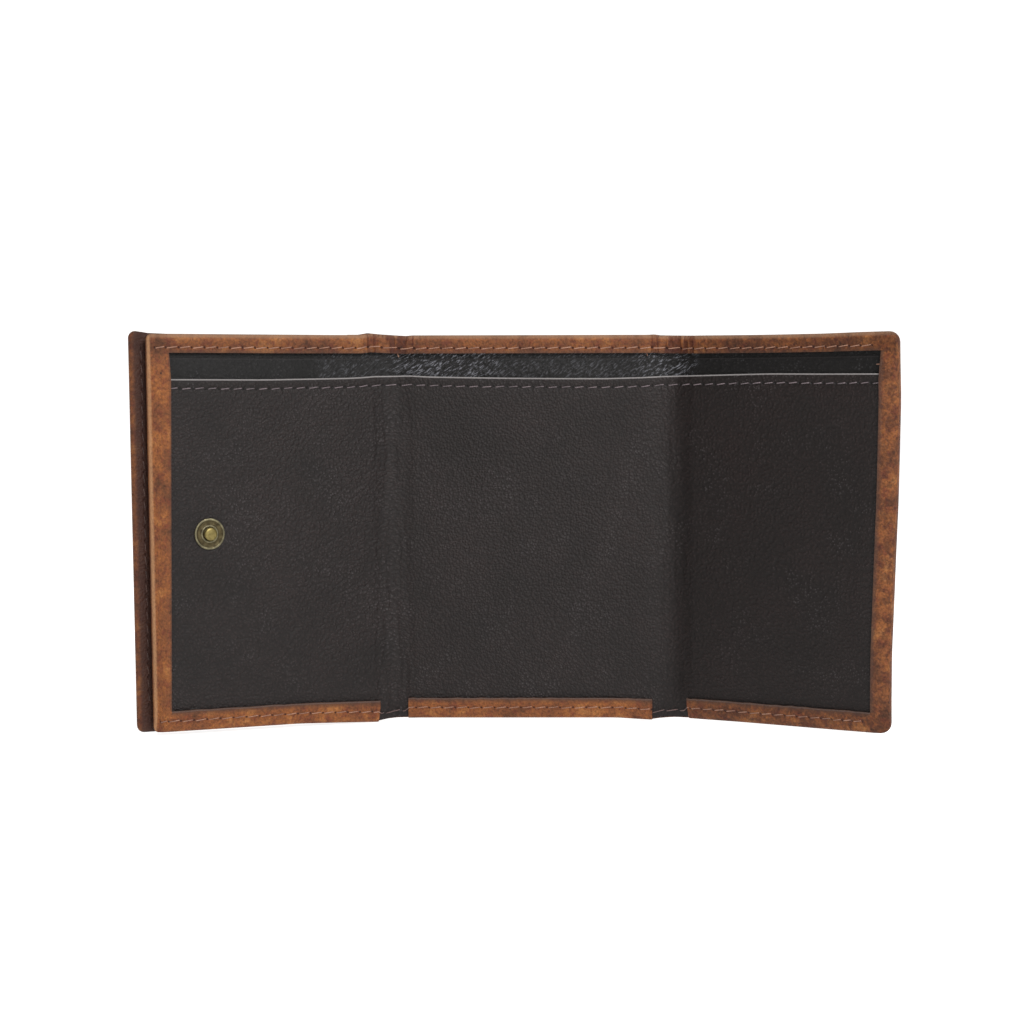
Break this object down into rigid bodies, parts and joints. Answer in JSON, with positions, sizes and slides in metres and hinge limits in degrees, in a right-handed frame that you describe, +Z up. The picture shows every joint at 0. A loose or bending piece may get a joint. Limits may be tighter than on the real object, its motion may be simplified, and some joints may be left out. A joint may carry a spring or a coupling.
{
  "type": "trifold wallet",
  "caption": "Three-panel leather wallet with a full-width note pocket, a press-stud closure and a lined coin pouch behind one side panel.",
  "frame": {"origin": "on the bottom face of the middle panel, midway between the two folds and midway through its thickness", "axes": "+X along the middle panel towards the right-hand side panel, +Z up the wallet from the edge that it stands on, -Y out of the note pocket's side, towards the user"},
  "size_m": [0.1948, 0.0396, 0.1008],
  "materials": {
    "outer_leather": "worn brown pull-up leather, matt with a waxy sheen",
    "pocket_leather": "black pebble-grained leather, satin",
    "lining_leather": "black grained split leather, satin",
    "board": "bonded leather-fibre board",
    "cloth": "black woven lining cloth",
    "antique_brass": "antique brass, brushed by use"
  },
  "bodies": {
    "middle": {"shell_middle": "outer_leather", "board_middle": "board", "lining_middle": "lining_leather", "divider_middle": "lining_leather", "pocket_middle": "pocket_leather", "shell_fold_left": "outer_leather", "lining_fold_left": "lining_leather", "divider_fold_left": "lining_leather", "pocket_fold_left": "pocket_leather", "shell_fold_right": "outer_leather", "lining_fold_right": "lining_leather", "divider_fold_right": "lining_leather", "pocket_fold_right": "pocket_leather"},
    "left": {"shell_left": "outer_leather", "board_left": "board", "lining_left": "lining_leather", "divider_left": "lining_leather", "pocket_left": "pocket_leather", "closure_stud": "antique_brass", "closure_stud_rivet": "antique_brass", "coin_stud": "antique_brass", "coin_stud_rivet": "antique_brass", "coin_hinge": "outer_leather", "coin_gusset_top": "cloth", "coin_gusset_bottom": "cloth"},
    "right": {"shell_right": "outer_leather", "board_right": "board", "lining_right": "lining_leather", "divider_right": "lining_leather", "pocket_right": "pocket_leather", "closure_socket": "antique_brass", "closure_socket_rivet": "antique_brass"},
    "coin_flap": {"coin_flap_shell": "outer_leather", "coin_flap_lining": "cloth", "coin_socket": "antique_brass", "coin_cap": "antique_brass"}
  },
  "joints": [
    {"name": "left_fold", "type": "hinge", "parent": "middle", "child": "left", "pos_m": [-0.0359, -0.00515, 0.05], "axis": [0, 0, 1], "range_deg": [-26, 154], "deforming": ["shell_fold_left", "lining_fold_left", "divider_fold_left", "pocket_fold_left"]},
    {"name": "right_fold", "type": "hinge", "parent": "middle", "child": "right", "pos_m": [0.0359, -0.0023, 0.05], "axis": [0, 0, -1], "range_deg": [-32.5, 147.5], "deforming": ["shell_fold_right", "lining_fold_right", "divider_fold_right", "pocket_fold_right"]},
    {"name": "coin_flap", "type": "hinge", "parent": "left", "child": "coin_flap", "pos_m": [-0.04391, 0.00101, 0.05], "axis": [0, 0, -1], "range_deg": [0, 50], "deforming": ["coin_hinge", "coin_gusset_top", "coin_gusset_bottom"]}
  ]
}
